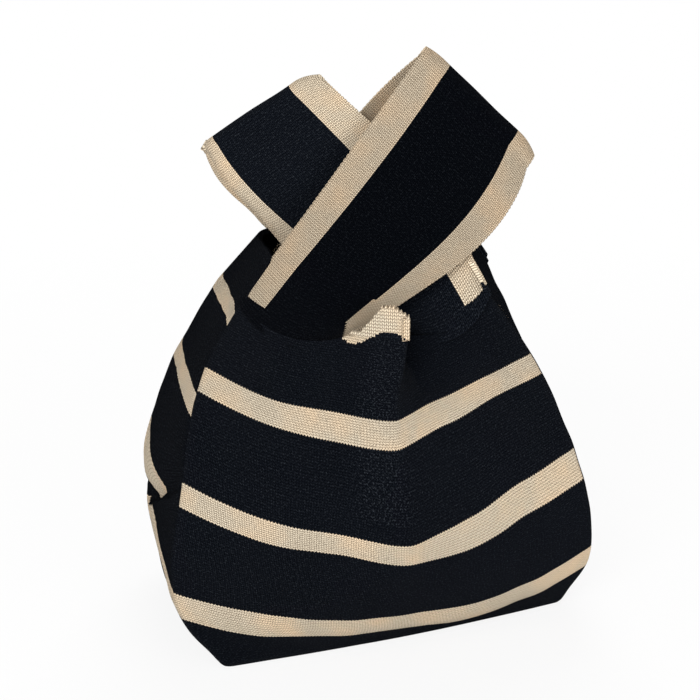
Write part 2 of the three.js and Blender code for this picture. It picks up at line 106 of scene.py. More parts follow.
valley_share = ridge_share + 26 / panel_width
valley_x = 12
valley_depth = 35
valley_rise = -7
pleat_puff = 3
pleat_onset = 3
left_flap_height, left_flap_taper = 31, 0.12
right_flap_height, right_flap_taper = 34, 1.9
flap_lean = math.radians(41)
root_dip = 9
strap_lap = 3
strap_share = strap_width / panel_width
gusset_width = 2 * rings[1][2]
edge_round = 1.1
fold_corner_share, fold_corner_reach = 0.16, 28
curl_start, curl_rise = 0.42, 0.3

steps = np.hypot(np.hypot(np.diff(rings[:, 0]), np.diff(rings[:, 1])), np.diff(rings[:, 2]))
ring_runs = np.concatenate([[0], np.cumsum(steps)])
mouth_run = ring_runs[-1]
slopes = np.array([
    (rings[min(level + 1, 4)] - rings[max(level - 1, 0)])
    / (ring_runs[min(level + 1, 4)] - ring_runs[max(level - 1, 0)])
    for level in range(5)
])


def mix(start, end, share):
    """A value at a share of the way from a start to an end."""
    return start + (end - start) * share


def smooth(share):
    """A rise from 0 to 1 that starts and ends level."""
    share = min(max(share, 0), 1)
    return share * share * (3 - 2 * share)


def ring_at(run):
    """The sizes of the ring at a length of fabric up the crease."""
    level = 0
    while level < 3 and run > ring_runs[level + 1]:
        level += 1
    span = ring_runs[level + 1] - ring_runs[level]
    t = min(run - ring_runs[level], span) / span
    from_lower = 2 * t ** 3 - 3 * t ** 2 + 1
    values = (
        from_lower * rings[level] + (1 - from_lower) * rings[level + 1]
        + (t ** 3 - 2 * t ** 2 + t) * span * slopes[level]
        + (t ** 3 - t ** 2) * span * slopes[level + 1]
    )
    ring = dict(zip(ring_keys, values))
    ring["over"] = max(run - mouth_run, 0)
    return ring


def turned(point, angle):
    """A point turned about Z, clockwise seen from above."""
    c, s = math.cos(angle), math.sin(angle)
    x, y, z = point
    return np.array([x * c + y * s, -x * s + y * c, z])


def front_point(across, ring):
    """A point of the front panel, which is pleated to the right of its ridge towards the mouth."""
    ridge_y = -(ring["half_depth"] + ring["swell"])
    ridge = np.array([ring["ridge"], ridge_y, ring["height"] - ring["sag"]])
    half_width, half_depth, tilt = ring["half_width"], ring["half_depth"], ring["tilt"]
    if across <= ridge_share:
        share = across / ridge_share
        arch = 1 - (1 - share) ** 2
        return np.array([
            mix(-half_width, ridge[0], share),
            mix(-half_depth, ridge[1], arch),
            mix(ring["height"] - tilt, ridge[2], arch) + ring["over"],
        ])
    share = (across - ridge_share) / (1 - ridge_share)
    ramp = share ** (1 + ring["rounding"])
    crease = np.array([half_width, -half_depth, ring["height"] + tilt])
    plain = np.array([
        mix(ring["ridge"], half_width, share),
        mix(ridge[1], crease[1], ramp),
        mix(ridge[2], crease[2], ramp),
    ])
    fold = max(ring["pleat"], 0)
    valley_part = (valley_share - ridge_share) / (1 - ridge_share)
    valley_ramp = valley_part ** (1 + ring["rounding"])
    valley = np.array([
        mix(ring["ridge"], half_width, valley_part),
        -(half_depth + ring["swell"] * (1 - valley_ramp)),
        ring["height"] - ring["sag"] * (1 - valley_ramp),
    ])
    tucked = np.array([valley_x, -valley_depth, ring["height"] - ring["sag"] + valley_rise])
    valley = mix(valley, tucked, fold)
    if across < valley_share:
        pleated = mix(ridge, valley, (across - ridge_share) / (valley_share - ridge_share))
    else:
        rest = (across - valley_share) / (1 - valley_share)
        pleated = mix(valley, crease, rest)
        pleated[1] -= pleat_puff * 4 * rest * (1 - rest)
    point = mix(plain, pleated, min(fold * pleat_onset, 1))
    point[2] += ring["over"]
    return point


def gusset_point(sign, across, ring):
    """A point of a gusset, whose flap above the mouth leans inwards."""
    swell = ring["right_swell"] if sign > 0 else ring["left_swell"]
    out = ring["half_width"] + swell * math.sin(math.pi * across)
    out -= ring["over"] * math.sin(flap_lean)
    return np.array([
        sign * out,
        mix(-ring["half_depth"], ring["half_depth"], across),
        ring["height"] + sign * ring["tilt"] + ring["over"] * math.cos(flap_lean),
    ])


def body_point(station, run):
    """A point of the body. Stations: front 0 to 1, right gusset to 2, back to 3, left gusset to 4."""
    ring = ring_at(run)
    place = station % 4
    if place < 1:
        point = front_point(place, ring)
    elif place < 2:
        point = gusset_point(1, place - 1, ring)
    elif place < 3:
        point = front_point(3 - place, ring)
        point[1] = -point[1]
    else:
        point = gusset_point(-1, 4 - place, ring)
    point[0] += ring["shift"]
    point[1] += ring["skew"] * point[0]
    return turned(point, math.radians(ring["twist"]))


def root_seat(crease_station, corner_station):
    """The circle on which a strap is rooted: its centre and its radius."""
    crease = turned(body_point(crease_station, mouth_run), -mouth_twist)
    corner = turned(body_point(corner_station, mouth_run), -mouth_twist)
    dx, dz = corner[0] - crease[0], corner[2] - crease[2]
    chord = math.hypot(dx, dz)
    radius = (chord ** 2 / 4 + root_dip ** 2) / (2 * root_dip)
    lift = (radius - root_dip) / chord
    return (
        (crease[0] + corner[0]) / 2 - np.sign(dx) * dz * lift,
        (crease[2] + corner[2]) / 2 + abs(dx) * lift,
        radius,
    )


left_seat = root_seat(0, strap_share)
right_seat = root_seat(1, 1 - strap_share)


def seat_height(x, seat):
    """The height of a strap's seat at a place along it."""
    middle, height, radius = seat
    aside = min(abs(x - middle), radius)
    return height - math.sqrt(radius ** 2 - aside ** 2)


def seat_run(station, seat):
    """The length of fabric up to a strap's seat at a station."""
    row = turned(body_point(station, mouth_run), -mouth_twist)
    return mouth_run - max(row[2] - seat_height(row[0], seat), 0)


def body_top(station):
    """The length of fabric up to the top edge of the body at a station."""
    place = station % 4
    if int(place) == 3:
        return mouth_run + left_flap_height * abs(math.sin(math.pi * place)) ** left_flap_taper
    if int(place) == 1:
        return mouth_run + right_flap_height * abs(math.sin(math.pi * place)) ** right_flap_taper
    across = place if place < 1 else 3 - place
    if across < strap_share:
        return seat_run(across, left_seat)
    if across > 1 - strap_share:
        return seat_run(across, right_seat)
    return mouth_run


left_strap = {
    "sign": -1, "seat": left_seat, "length": 131, "lean": math.radians(36.5),
    "fold_slope": math.radians(43), "radius": 6.5, "round": (1.5, 2.5), "curl": 0,
    "outer_bow": 0, "inner_bow": 9, "outer_low_bow": 0, "inner_low_bow": 3.5,
    "closing": 0.97, "gather": 0, "tuck": 3, "back_shift": 7,
}
right_strap = {
    "sign": 1, "seat": right_seat, "length": 117, "lean": math.radians(41),
    "fold_slope": math.radians(34), "radius": 4.5, "round": (4, 4), "curl": math.radians(95),
    "outer_bow": 3, "inner_bow": 9, "outer_low_bow": 5, "inner_low_bow": 0,
    "closing": 2, "gather": 0.95, "tuck": 6, "back_shift": 3,
}


def root_point(strap, share):
    """A point of a strap's root, in the frame of the knot."""
    from_crease = share * strap_share
    station = from_crease if strap["sign"] < 0 else 1 - from_crease
    point = turned(body_point(station, seat_run(station, strap["seat"])), -mouth_twist)
    point[2] = seat_height(point[0], strap["seat"])
    point[1] += strap["tuck"] * max(2 * share - 1, 0) ** 2
    return point


def bow_at(share):
    """A bow of 1 at two thirds of the way from 0 to 1, and of 0 at both ends."""
    return 27 / 4 * share ** 2 * (1 - share)


def leg_point(strap, across, up):
    """A point of a strap's front leg, by shares across it and up it."""
    sign, length = strap["sign"], strap["length"]
    across += strap["gather"] * (1 - up) ** 2 * across * (1 - across)
    along = np.array([-sign * math.sin(strap["lean"]), 0, math.cos(strap["lean"])])
    slope = strap["fold_slope"]
    inward = np.array([-sign * math.cos(slope), 0, -math.sin(slope)])
    outer_root, inner_root = root_point(strap, 0), root_point(strap, 1)
    outer_top = outer_root + along * length
    inner_top = outer_top + inward * strap_width
    outer_bow = strap["outer_bow"] * bow_at(up) + strap["outer_low_bow"] * bow_at(1 - up)
    inner_bow = strap["inner_bow"] * bow_at(up) + strap["inner_low_bow"] * bow_at(1 - up)
    outer = mix(outer_root, outer_top, up) - inward * outer_bow
    inner = mix(inner_root, inner_top, up) + inward * inner_bow
    root = root_point(strap, across)
    point = mix(outer, inner, across)
    point += (root - mix(outer_root, inner_root, across)) * (1 - up) ** 3
    radius = strap["radius"]
    point[1] = -radius + (root[1] + radius) * (1 - up) ** strap["closing"]
    return point


def strap_point(strap, across, run):
    """A point of a strap, by the length of fabric from its front root over its fold."""
    length, radius = strap["length"], strap["radius"]
    half_run = length + radius * math.pi / 2
    mirrored = run > half_run
    way = 2 * half_run - run if mirrored else run
    if way <= length:
        point = leg_point(strap, across, max(way, 0) / length)
        if way < 0:
            point += (point - leg_point(strap, across, 1 / length)) * -way
    else:
        turn = (way - length) / radius
        point = leg_point(strap, across, 1)
        point[0] -= strap["sign"] * radius * math.sin(turn) * math.sin(strap["lean"])
        point[2] += radius * math.sin(turn) * math.cos(strap["lean"])
        point[1] = -radius * math.cos(turn)
    end = max(fold_corner_share - across, across - (1 - fold_corner_share), 0) / fold_corner_share
    near_fold = smooth(1 - abs(run - half_run) / fold_corner_reach)
    fall = strap["round"][int(across > 0.5)] * end ** 2 * near_fold
    point[0] += strap["sign"] * fall * math.sin(strap["lean"])
    point[2] -= fall * math.cos(strap["lean"])
    up = min(max(way, 0) / length, 1)
    if mirrored:
        point[1] = -point[1]
        point[0] -= strap["back_shift"] * bow_at(up)
    beyond = max(across - 1 + stripe_width / strap_width, 0) * strap_width
    curl = strap["curl"] * smooth((up - curl_start) / curl_rise) * beyond / stripe_width
    if curl > 0.001:
        drawn = beyond * (1 - math.sin(curl) / curl)
        point[0] += strap["sign"] * math.cos(strap["fold_slope"]) * drawn
        point[1] += beyond * (1 - math.cos(curl)) / curl
        point[2] += math.sin(strap["fold_slope"]) * drawn
    return turned(point, mouth_twist)


def knit_sheet(name, points, uv):
    """A sheet of knit: a flat grid, shaped over rows and columns of points, then thickened."""
    rows, columns = points.shape[0] - 1, points.shape[1] - 1
    bpy.ops.object.select_all(action="DESELECT")
    bpy.ops.mesh.primitive_grid_add(
        x_subdivisions=columns, y_subdivisions=rows, size=2, calc_uvs=True,
    )
    piece = bpy.context.object
    piece.name = name
    piece.data.name = name
    flat = np.empty(len(piece.data.vertices) * 3)
    piece.data.vertices.foreach_get("co", flat)
    flat = flat.reshape(-1, 3)
    column = np.rint((flat[:, 0] + 1) / 2 * columns).astype(int)
    row = np.rint((flat[:, 1] + 1) / 2 * rows).astype(int)
    piece.data.vertices.foreach_set("co", (points[row, column] * MM).ravel())
    corners = np.empty(len(piece.data.loops), int)
    piece.data.loops.foreach_get("vertex_index", corners)
    fabric_map = (uv[row, column] * MM)[corners]
    piece.data.uv_layers[0].data.foreach_set("uv", fabric_map.ravel())
    piece.data.update()
    thick = piece.modifiers.new("thickness", "SOLIDIFY")
    thick.thickness = fabric * MM
    thick.offset = -1
    bpy.ops.object.modifier_apply(modifier=thick.name)
    edge = piece.modifiers.new("soft edge", "BEVEL")
    edge.width = edge_round * MM
    edge.segments = 2
    edge.limit_method = "ANGLE"
    edge.angle_limit = math.radians(60)
    bpy.ops.object.modifier_apply(modifier=edge.name)
    bpy.ops.object.shade_smooth()
    return piece


# The body, as one ring of fabric that is smoothed round its creases and under its base
panel_cells, gusset_cells, body_rows, under_rows = 104, 46, 92, 2
even_rows, even_run = 80, mouth_run - 14
under_step = 2
low_rows = 12
stations = np.concatenate([
    np.linspace(0, 1, panel_cells, endpoint=False),
    np.linspace(1, 2, gusset_cells, endpoint=False),
    np.linspace(2, 3, panel_cells, endpoint=False),
    np.linspace(3, 4, gusset_cells, endpoint=False),
])
body = np.zeros((under_rows + body_rows + 1, len(stations), 3))
runs = np.zeros(body.shape[:2])
for column, station in enumerate(stations):
    top = body_top(station)
    foot = body_point(station, 0)
    for row in range(body_rows + 1):
        if row <= even_rows:
            run = even_run * row / even_rows
        else:
            run = mix(even_run, top, (row - even_rows) / (body_rows - even_rows))
        body[under_rows + row, column] = body_point(station, run)
        runs[under_rows + row, column] = run
    for row in range(under_rows):
        inset = under_step * (under_rows - row)
        body[row, column] = foot * (1 - inset / np.linalg.norm(foot))
        runs[row, column] = -inset
for repeat in range(2):
    body = (np.roll(body, 1, axis=1) + 2 * body + np.roll(body, -1, axis=1)) / 4
    runs = (np.roll(runs, 1, axis=1) + 2 * runs + np.roll(runs, -1, axis=1)) / 4
for repeat in range(3):
    low = body[:low_rows].copy()
    body[1:low_rows - 1] = (low[:-2] + 2 * low[1:-1] + low[2:]) / 4

# The tuck across the left gusset, the hollows under and over it as (height, reach, depth), and
# the soft waves of all the fabric as (size, length, seed)
tuck_height, tuck_front_rise, tuck_back_rise = 62, 26, 10
tuck_depth, tuck_reach = 5.5, 11
lip_depth, lip_reach = 0.5, 16
hollows = ((42, 15, 2.6), (66, 12, 2))
soft_waves = ((0.8, 34, 3), (0.35, 14, 8))


def tuck_run(share):
    """The height of the tuck in the left gusset, from the front crease to the back one."""
    front = tuck_front_rise * max(1 - share / 0.5, 0) ** 1.2
    return tuck_height + front + tuck_back_rise * smooth((share - 0.5) / 0.4)


def wave(point, length, seed):
    """A slow uneven wave of the fabric at a point, between about -1 and 1."""
    return noise.noise(Vector(point) / length + Vector((seed, seed, seed))) * 1.6


away = np.cross(np.roll(body, -1, axis=1) - np.roll(body, 1, axis=1), np.gradient(body, axis=0))
away /= np.linalg.norm(away, axis=2, keepdims=True)
left_first = 2 * panel_cells + gusset_cells
for column in range(left_first, len(stations)):
    share = 4 - stations[column]
    held = smooth(share / 0.14) * (1 - smooth((share - 0.5) / 0.35))
    belly = math.sin(math.pi * share)
    for row in range(under_rows + 1, len(body)):
        run = runs[row, column]
        above = run - tuck_run(share)
        if above > 0:
            move = -tuck_depth * math.exp(-(above / tuck_reach) ** 2) * held
        else:
            move = -lip_depth * math.exp(-(above / lip_reach) ** 2) * held
        for height, reach, depth in hollows:
            move -= belly * depth * math.exp(-((run - height) / reach) ** 2)
        body[row, column] += away[row, column] * move
for row in range(under_rows + 1, len(body)):
    for column in range(len(stations)):
        calm = smooth(runs[row, column] / 12) * smooth((mouth_run - 3 - runs[row, column]) / 20)
        soft = sum(size * wave(body[row, column], length, seed) for size, length, seed in soft_waves)
        body[row, column] += away[row, column] * soft * calm


def eased(share, values):
    """A value between those at evenly spaced places from 0 to 1, without corners."""
    place = min(max(share, 0), 1) * (len(values) - 1)
    cell = min(int(place), len(values) - 2)
    return mix(values[cell], values[cell + 1], smooth(place - cell))


def body_part(first, last):
    """The columns of the ring from one crease to the next, and where they lie in the fabric."""
    picked = [index % len(stations) for index in range(first, last + 1)]
    place = [stations[first] + (index - first) / (last - first) for index in range(first, last + 1)]
    return body[:, picked], runs[:, picked], place


def stripe_edges(middles):
    """The heights of the lower and the upper edge of each stripe in turn, from its middle."""
    half = stripe_width / 2
    return np.column_stack([middles - half, middles + half]).ravel()


def knit_rows(run, middles, slack):
    """The height of each point in the knitting. Slack is how far each edge of a stripe is off its level."""
    edges = stripe_edges(middles)
    knitted = np.concatenate([[0], edges])
    places = np.concatenate([[0], edges + slack])
    beyond = np.maximum(run - places[-1], 0) + np.minimum(run, 0)
    return np.interp(run, places, knitted) + beyond


def panel(name, first, start, left_to_right):
    """A panel, whose stripes are slack by some millimetres at seven places across it."""
    slack_at = np.array([
        [-1, -5, -2.5, -0.5, -7, -5, 1],
        [-1, 0, 0, 1, -2, -2.5, 1],
        [2, 1.5, 3, -1.5, -5, -2, -0.5],
        [0, -0.5, 0.5, -4, -2.5, 1.5, 3.5],
        [2, 1.8, 2, 0, 2.2, 5, 5],
        [1, 0.5, 2.5, 0.5, 1.8, 3.2, 3.5],
    ])
    points, run, place = body_part(first, first + panel_cells)
    u = np.array([(station - start) * panel_width for station in place])
    v = np.zeros(run.shape)
    for column in range(len(place)):
        share = (place[column] - start) if left_to_right else 1 - (place[column] - start)
        slack = np.array([eased(share, row) for row in slack_at])
        v[:, column] = knit_rows(np.minimum(run[:, column], mouth_run), ring_runs[1:4], slack)
    return knit_sheet(name, points, np.dstack([np.broadcast_to(u, run.shape), v]))


def tucked_edges(share):
    """The heights of the edges of the left gusset's stripes, from the front crease to the back one."""
    # The two upper stripes follow points of the photo projected onto the fabric
    fold = tuck_run(share)
    places = [0, 0.05, 0.09, 0.15, 0.22, 0.26, 0.3, 0.4, 0.5, 0.7, 0.85, 1]
    drawn = [
        [26.5, 27, 28, 31, 40, 46, 50, 55, 56, 46, 36, 26.5],
        [38.5, 43, 47.5, 53, 60, 66, 70, 66, 64, 60, 50, 39],
        [57, 60, 63, 67, 70, 70, 70, 73, 78, 80, 76, 70],
        [66, 69, 72, 75, 82, 87, 91, 101, 106, 98, 90, 83],
        [119, 122, 124.5, 128, 132, 134, 136, 138, 138.5, 136, 128, 116],
        [129, 131.5, 134, 137.5, 140, 142, 143.5, 146, 148, 147, 140, 129],
        [166.5, 170.8, 172.4, 174.4, 176.5, 177.6, 178.2, 178.7, 178.7, 178, 173, 163],
        [173.5, 178.3, 180.2, 182.2, 184.3, 185.1, 185.8, 186.4, 186.5, 187, 184, 175],
    ]
    edges = [np.interp(share, places, line) for line in drawn]
    if share < 0.6:
        edges[1] = min(edges[1], fold - 1)
        edges[2] = max(edges[2], fold)
        edges[3] = max(edges[3], fold + 0.1)
    return np.maximum.accumulate(edges)


def sloping_edges(share):
    """The heights of the edges of the right gusset's stripes, which go down to the back."""
    places = (0, 0.25, 0.5, 0.75, 1)
    drawn = (
        (33, 38, 38, 35, 30),
        (71, 73, 70, 63, 56),
        (122, 119, 111, 101, 92),
        (168, 156, 142, 128, 117),
    )
    return stripe_edges(np.array([np.interp(share, places, line) for line in drawn]))


def gusset(name, first, start):
    """A gusset. The left one's stripes bend at its tuck, and the right one's go down to the back."""
    points, run, place = body_part(first, first + gusset_cells)
    share = np.array([station - start for station in place])
    plain = stripe_edges(ring_runs[1:])
    v = np.zeros(run.shape)
    for column, part in enumerate(share):
        edges = tucked_edges(1 - part) if start == 3 else sloping_edges(part)
        v[:, column] = knit_rows(run[:, column], ring_runs[1:], edges - plain)
    return knit_sheet(name, points, np.dstack([np.broadcast_to(share * gusset_width, run.shape), v]))


front_panel = panel("front_panel", 0, 0, True)
right_gusset = gusset("right_gusset", panel_cells, 1)
back_panel = panel("back_panel", panel_cells + gusset_cells, 2, False)
left_gusset = gusset("left_gusset", left_first, 3)

# The mouth border: where its height starts beside the left strap, its crown and its fall along it,
# and the height of its teeth and of those on the edges of the straps
border_start, border_slope, border_least = 4.5, 0.9, 0.8
crown_height, crown_place, crown_reach = 1.4, 23, 8
border_fall, fall_place, fall_reach = 3, 24, 12
hidden_fall = 0.4
mouth_tooth, strap_tooth = 1.2, 0.45


def mouth_border(name, first, last):
    """The cream border of the mouth, which rises from behind the left strap's edge."""
    columns, rows = 140, 8
    places = np.linspace(first, last, columns + 1)
    points = np.zeros((rows + 1, columns + 1, 3))
    v = np.zeros((rows + 1, columns + 1))
    for column, station in enumerate(places):
        foot = body_point(station, mouth_run)
        place = station if station < 1 else 3 - station
        from_corner = (place - strap_share) * panel_width
        hidden = smooth((place - ridge_share) / (valley_share - ridge_share))
        full = min(stripe_width, max(border_least, border_slope * (from_corner - border_start)))
        full += crown_height * math.exp(-((from_corner - crown_place) / crown_reach) ** 2)
        full -= border_fall * smooth((from_corner - fall_place) / fall_reach)
        tooth = mouth_tooth * abs(math.sin(math.pi * from_corner / wide_wale))
        for row in range(rows + 1):
            rise = full * row / rows + (tooth if row == rows else 0)
            points[row, column] = foot + np.array([0, 0, rise - hidden_fall * hidden * rise])
            v[row, column] = rise
    from_corner = (places - first if first < 1 else last - places) * panel_width
    u = np.broadcast_to(from_corner, (rows + 1, columns + 1))
    return knit_sheet(name, points, np.dstack([u, v]))


front_mouth_border = mouth_border("front_mouth_border", strap_share, 1 - strap_share)
back_mouth_border = mouth_border("back_mouth_border", 2 + strap_share, 3 - strap_share)


def strap_sheet(name, strap):
    """A strap from under its front root, over its fold, to under its back root."""
    columns, rows = 40, 366
    root_calm = 25
    wave_size, wave_length, wave_seed = 0.6, 26, 5
    full = 2 * (strap["length"] + strap["radius"] * math.pi / 2)
    ways = np.linspace(-strap_lap, full + strap_lap, rows + 1)
    across = np.linspace(0, 1, columns + 1)
    if strap["sign"] > 0:
        across = across[::-1]
    points = np.array([[strap_point(strap, share, way) for share in across] for way in ways])
    away = np.cross(np.gradient(points, axis=1), np.gradient(points, axis=0))
    away /= np.linalg.norm(away, axis=2, keepdims=True)
    for row, way in enumerate(ways):
        calm = smooth(way / root_calm) * smooth((full - way) / root_calm)
        for column in range(columns + 1):
            soft = wave_size * wave(points[row, column], wave_length, wave_seed)
            points[row, column] += away[row, column] * soft * calm
        tooth = strap_tooth * abs(math.sin(math.pi * way / (2 * course))) * calm
        for edge, inside in ((0, 1), (columns, columns - 1)):
            side = points[row, edge] - points[row, inside]
            points[row, edge] += side * tooth / np.linalg.norm(side)
    u = np.broadcast_to(across * strap_width, (rows + 1, columns + 1))
    v = np.broadcast_to(ways[:, None], u.shape)
    return knit_sheet(name, points, np.dstack([u, v]))


left_strap_band = strap_sheet("left_strap", left_strap)
right_strap_band = strap_sheet("right_strap", right_strap)


def base_panel():
    """The flat base inside the lower edge of the panels."""
    rim = body[0, ::2]
    shares = np.linspace(0.02, 1, 16)
    points = np.array([[point * share for point in np.vstack([rim, rim[:1]])] for share in shares[::-1]])
    points[:, :, 2] = 0.2
    uv = points[:, :, :2].copy()
    return knit_sheet("base_panel", points[::-1], uv[::-1])


base = base_panel()


# Knit finish
class Flow:
    """A value that varies over a surface, for sums written as Python expressions."""

    def __init__(self, finish, socket):
        self.finish = finish
        self.socket = socket

    def math(self, operation, *others, **settings):
        settings["operation"] = operation
        return self.finish.node("ShaderNodeMath", settings, [self, *others])[0]

    def __add__(self, other):
        return self.math("ADD", other)

    __radd__ = __add__

    def __mul__(self, other):
        return self.math("MULTIPLY", other)

    __rmul__ = __mul__

    def __sub__(self, other):
        return self.math("SUBTRACT", other)

    def __rsub__(self, other):
        return (self * -1) + other

    def __truediv__(self, other):
        return self.math("DIVIDE", other)

    def __pow__(self, other):
        return self.math("POWER", other)

    def __abs__(self):
        return self.math("ABSOLUTE")

    def __lt__(self, other):
        return self.math("LESS_THAN", other)

    def __gt__(self, other):
        return self.math("GREATER_THAN", other)


class Finish:
    """A material and its nodes."""

    def __init__(self, name, roughness, sheen):
        self.material = bpy.data.materials.new(name)
        self.material.use_nodes = True
        self.tree = self.material.node_tree
        self.shader = self.tree.nodes["Principled BSDF"]
        self.shader.inputs["Roughness"].default_value = roughness
        self.shader.inputs["Specular IOR Level"].default_value = 0
        self.shader.inputs["Sheen Weight"].default_value = sheen
        self.shader.inputs["Sheen Roughness"].default_value = 0.3

    def node(self, kind, settings, values):
        """Adds a node, sets it, and fills its sockets with values or links."""
        node = self.tree.nodes.new(kind)
        for key, value in settings.items():
            setattr(node, key, value)
        pairs = values.items() if isinstance(values, dict) else enumerate(values)
        for key, value in pairs:
            if isinstance(value, Flow):
                self.tree.links.new(value.socket, node.inputs[key])
            else:
                node.inputs[key].default_value = value
        return [Flow(self, socket) for socket in node.outputs]

    def feed(self, name, flow):
        self.tree.links.new(flow.socket, self.shader.inputs[name])

    def mixed(self, factor, first, second):
        return self.node(
            "ShaderNodeMix", {"data_type": "RGBA"},
            {0: factor, 6: first, 7: second},
        )[2]


# Yarn colours. The gap colours darken the knit between its loops, by loop height: painted shade in the
# hollows between stitches.
black_yarn = (0.0080, 0.0100, 0.0145)
black_gap_shade = (0.0010, 0.0013, 0.0024, 1)
black_fleck = (0.031, 0.036, 0.044, 1)
cream_yarn = (0.95, 0.74, 0.51)
grey_cream_yarn = (0.84, 0.735, 0.565)
cream_gap_shade = (0.20, 0.135, 0.085, 1)
loop_slant = 1.1

# Where the yarns change, and from what height the black beside the pleat's ridge gets painted light, in
# millimetres of fabric
painted_ridge_light_from = 100
foot_corner, foot_reach, foot_height = 70.5, 8.5, 6.2
root_narrowing, narrowing_height = 9, 14
bulge_width, bulge_height, bulge_reach = 2, 21, 10
corner_cut = 2.5
black_rise, black_reach, black_start = 3.4, 8.5, 0.2


def hump(place, middle, reach):
    """A flat-topped hump of 1 over a middle, that fades out at a reach from it."""
    off = (place - middle * MM) / (reach * MM)
    off = off * off
    return (off * off * -1).math("EXPONENT")


def knit_finish(name, marks, depth=1, pale=(1, 1, 1), wale=wale, course=course, painted_ridge_light=None):
    """Stockinette in two yarns. The marks give the share of cream from the place in the knit."""
    finish = Finish(name, roughness=0.95, sheen=0.012)
    place = finish.node("ShaderNodeUVMap", {"uv_map": "UVMap"}, [])[0]
    u, v = finish.node("ShaderNodeSeparateXYZ", {}, [place])[:2]
    column = u / (wale * MM) + 0.25
    side = abs(column.math("FRACT") - 0.5)
    rise = v / (course * MM) - side * loop_slant
    within = rise.math("FRACT")
    across = (column.math("FLOOR") + 0.25) * (wale * MM)
    along = (rise.math("FLOOR") + 0.5) * (course * MM)
    leg = 1 - (side * 4 - 1) ** 2
    lap = 1 - (within * 2 - 1) ** 2
    height = (leg * lap).math("MAXIMUM", 0) ** 0.6
    cloud = finish.node("ShaderNodeTexNoise", {}, {"Vector": place, "Scale": 45, "Detail": 3})[0]
    fibre = finish.node("ShaderNodeTexNoise", {}, {"Vector": place, "Scale": 1100, "Detail": 2})[0]
    # The loops' height darkens the gaps between them as painted shade; the two noises add random tone.
    shade = height * 1.05 + (cloud - 0.5) * 0.3 + (fibre - 0.5) * 0.5
    shade = shade.math("MAXIMUM", 0).math("MINIMUM", 1)
    tint = ((cloud - 0.42) * 4).math("MAXIMUM", 0).math("MINIMUM", 1)
    # Pale scales the cream and depth the black of a piece; some finishes use them for painted shade and
    # painted light.
    warm, grey = (
        tuple(value * part for value, part in zip(yarn, pale)) + (1,)
        for yarn in (cream_yarn, grey_cream_yarn)
    )
    light = finish.mixed(shade, cream_gap_shade, finish.mixed(tint, grey, warm))
    deep = tuple(value * depth for value in black_yarn) + (1,)
    fleck = ((fibre - 0.52) * (5 * depth)).math("MAXIMUM", 0).math("MINIMUM", 1) * height
    # Above a height, a band of the black left of the pleat's ridge gets stronger light flecks: painted
    # light on the side of the ridge that the light falls on.
    if painted_ridge_light:
        fleck = fleck * (hump(u, *painted_ridge_light) * (v > painted_ridge_light_from * MM) * 1.6 + 0.9)
    dark = finish.mixed(fleck, finish.mixed(shade, black_gap_shade, deep), black_fleck)
    mask = marks(across, along, v)
    finish.feed("Base Color", finish.mixed(mask, dark, light))
    bump = finish.node(
        "ShaderNodeBump", {}, {"Strength": 0.9, "Distance": 0.6 * MM, "Height": height},
    )[0]
    finish.feed("Normal", bump)
    return finish.material


def panel_marks(corner):
    """Three stripes, and the foot of the mouth border beside the root of the left strap."""
    def marks(across, along, v):
        mask = along > ((mouth_run * MM) - hump(across, corner, foot_reach) * (foot_height * MM))
        for stripe in ring_runs[1:4]:
            mask = mask.math("MAXIMUM", abs(along - stripe * MM) < (stripe_width / 2 * MM))
        return mask
    return marks


def gusset_marks(start, second_end):
    """Four stripes from a place beside one crease, the second of them only to some other place."""
    def marks(across, along, v):
        mask = None
        for level, stripe in enumerate(ring_runs[1:]):
            band = abs(along - stripe * MM) < (stripe_width / 2 * MM)
            if level == 1:
                band = band * (across < (second_end * MM))
            mask = band if mask is None else mask.math("MAXIMUM", band)
        return mask * (across > (start * MM))
    return marks


def strap_marks(full, foot, foot_slope, back_foot):
    """A border along each edge: the outer one ends above the roots, the inner one narrows at them."""
    def marks(across, along, v):
        from_root = full / 2 * MM - abs(v - full / 2 * MM)
        bare = across * foot_slope + (v > full / 2 * MM) * ((back_foot - foot) * MM) + foot * MM
        bare = bare + (across < MM) * (corner_cut * MM)
        outer = (across < (stripe_width * MM)) * (from_root > bare)
        narrowed = (1 - from_root / (narrowing_height * MM)).math("MAXIMUM", 0) ** 1.3
        narrowed = narrowed * (root_narrowing * MM)
        narrowed = narrowed - hump(from_root, bulge_height, bulge_reach) * (bulge_width * MM)
        inner = across > (narrowed + (strap_width - stripe_width) * MM)
        return outer.math("MAXIMUM", inner)
    return marks


def mouth_marks(across, along, v):
    """All cream, but for the black that rises into it before the pleat."""
    return v > (hump(across, crown_place, black_reach) * (black_rise * MM) - black_start * MM)


def no_marks(across, along, v):
    return v * 0


# The front's black gets a band of painted light left of the pleat's ridge.
panel_knit = knit_finish(
    "striped knit of the front", panel_marks(foot_corner),
    depth=0.8, painted_ridge_light=(ridge_share * panel_width - 10, 12),
)
back_knit = knit_finish("striped knit of the back", panel_marks(panel_width - foot_corner), depth=0.8)
# The gussets' black is painted darker than the panels': painted shade on the sides of the bag.
right_gusset_knit = knit_finish(
    "striped knit of the right gusset", gusset_marks(5, 2 * gusset_width), depth=0.5,
)
left_gusset_knit = knit_finish(
    "striped knit of the left gusset", gusset_marks(0, 0.8 * gusset_width), depth=0.5,
)
strap_lengths = [2 * strap["length"] + strap["radius"] * math.pi for strap in (left_strap, right_strap)]
